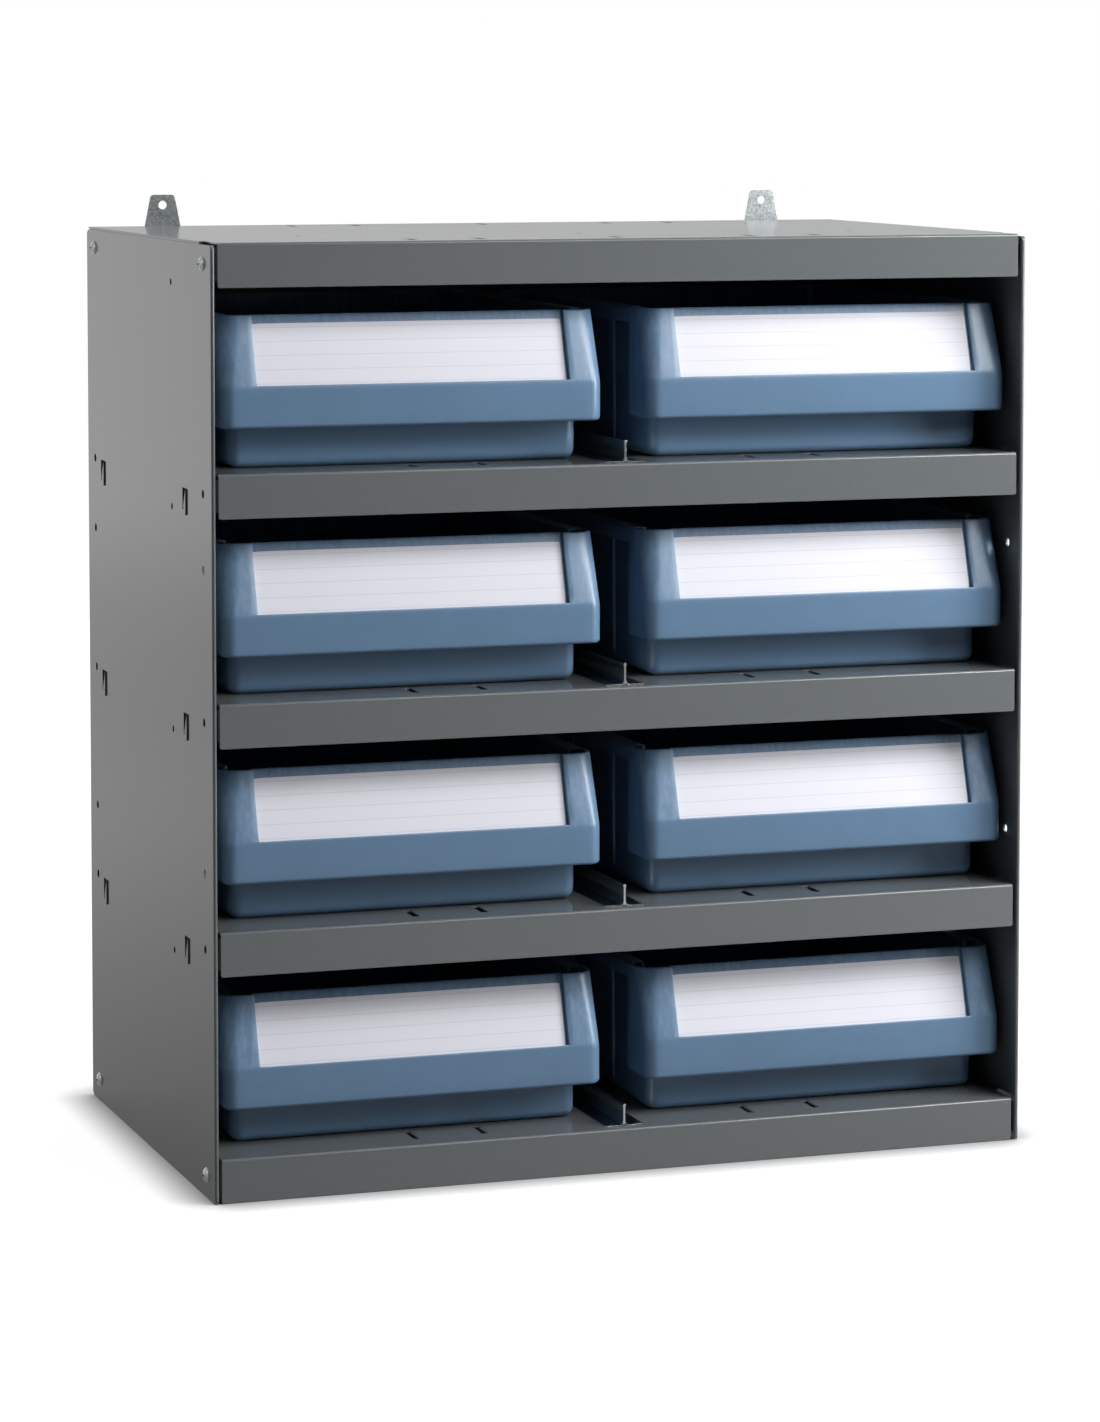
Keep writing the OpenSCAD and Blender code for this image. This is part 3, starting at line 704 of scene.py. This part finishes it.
def studio_world():
    """White backdrop for the camera. Gloss sees it white behind to the left, and greyer to the right."""
    world = bpy.data.worlds.new("studio")
    world.use_nodes = True
    n = Nodes(tree=world.node_tree, output="ShaderNodeOutputWorld")
    toward = n.add("ShaderNodeVectorMath", operation="DOT_PRODUCT")
    n.link(n.add("ShaderNodeTexCoord").outputs["Generated"], toward.inputs[0])
    toward.inputs[1].default_value = WHITE_SIDE
    path = n.add("ShaderNodeLightPath")
    seen = n.math("MAXIMUM", path.outputs["Is Camera Ray"], path.outputs["Is Transmission Ray"])
    backdrop = n.math("ADD", n.fade(toward.outputs["Value"], -0.45, -0.10, 0.0, BACK_GREY),
                      n.fade(toward.outputs["Value"], 0.72, 0.97, 0.0, 1.0 - BACK_GREY))
    strength = n.math("MULTIPLY", path.outputs["Is Glossy Ray"], backdrop)
    strength = n.math("MAXIMUM", n.math("MAXIMUM", strength, seen), SKY)
    sky = n.add("ShaderNodeBackground")
    sky.inputs["Color"].default_value = (1.0, 1.0, 1.0, 1.0)
    n.link(strength, sky.inputs["Strength"])
    n.link(sky.outputs[0], n.out.inputs["Surface"])
    return world


def area_light(name, place, width, height, watts, mirrored=True):
    """Soft box that faces the middle of the cabinet. mirrored: whether gloss shows it."""
    lamp = bpy.data.lights.new(name, "AREA")
    lamp.shape = "RECTANGLE"
    lamp.size, lamp.size_y = width, height
    lamp.energy = watts
    obj = bpy.data.objects.new(name, lamp)
    bpy.context.scene.collection.objects.link(obj)
    obj.visible_glossy = mirrored
    obj.location = place
    obj.rotation_euler = (Vector(MIDDLE) - Vector(place)).to_track_quat("-Z", "Y").to_euler()


bm = bmesh.new()
bmesh.ops.create_grid(bm, x_segments=8, y_segments=8, size=FLOOR_HALF)
floor_mesh = bpy.data.meshes.new("floor")
bm.to_mesh(floor_mesh)
bm.free()
floor = new_object("studio_floor", floor_mesh)
floor.location.z = -FLOOR_DROP
floor.data.materials.append(floor_material())

area_light("near_softbox", (0.80, -0.9, 1.15), 0.4, 0.4, 8.0)
area_light("wide_softbox", (1.05, -2.15, 1.95), 1.0, 1.0, 21.0)
area_light("side_softbox", (1.30, -0.8, 0.76), 0.5, 0.8, 19.5)
area_light("top_softbox", (0.1, 0.3, 2.4), 1.8, 1.8, 12.3, mirrored=False)
area_light("left_fill", (-2.2, -0.3, 1.3), 1.2, 1.2, 1.5)
area_light("rear_fill", (0.5, 2.4, 1.2), 1.4, 1.2, 20.0, mirrored=False)
area_light("right_fill", (2.5, 0.9, 1.0), 1.2, 1.4, 12.0, mirrored=False)

bpy.context.scene.world = studio_world()

lens = bpy.data.cameras.new("camera")
lens.sensor_width = 36.0
lens.lens = CAMERA_LENS
lens.shift_y = CAMERA_SHIFT
lens.clip_end = 100.0
camera = bpy.data.objects.new("camera", lens)
bpy.context.scene.collection.objects.link(camera)
camera.matrix_world = (Matrix.Translation(CAMERA_PLACE)
                       @ Matrix.Rotation(math.radians(-CAMERA_YAW), 4, "Z")
                       @ Matrix.Rotation(math.radians(90.0 + CAMERA_PITCH), 4, "X")
                       @ Matrix.Rotation(math.radians(-CAMERA_ROLL), 4, "Z"))
bpy.context.scene.camera = camera
bpy.context.scene.view_settings.view_transform = "Standard"
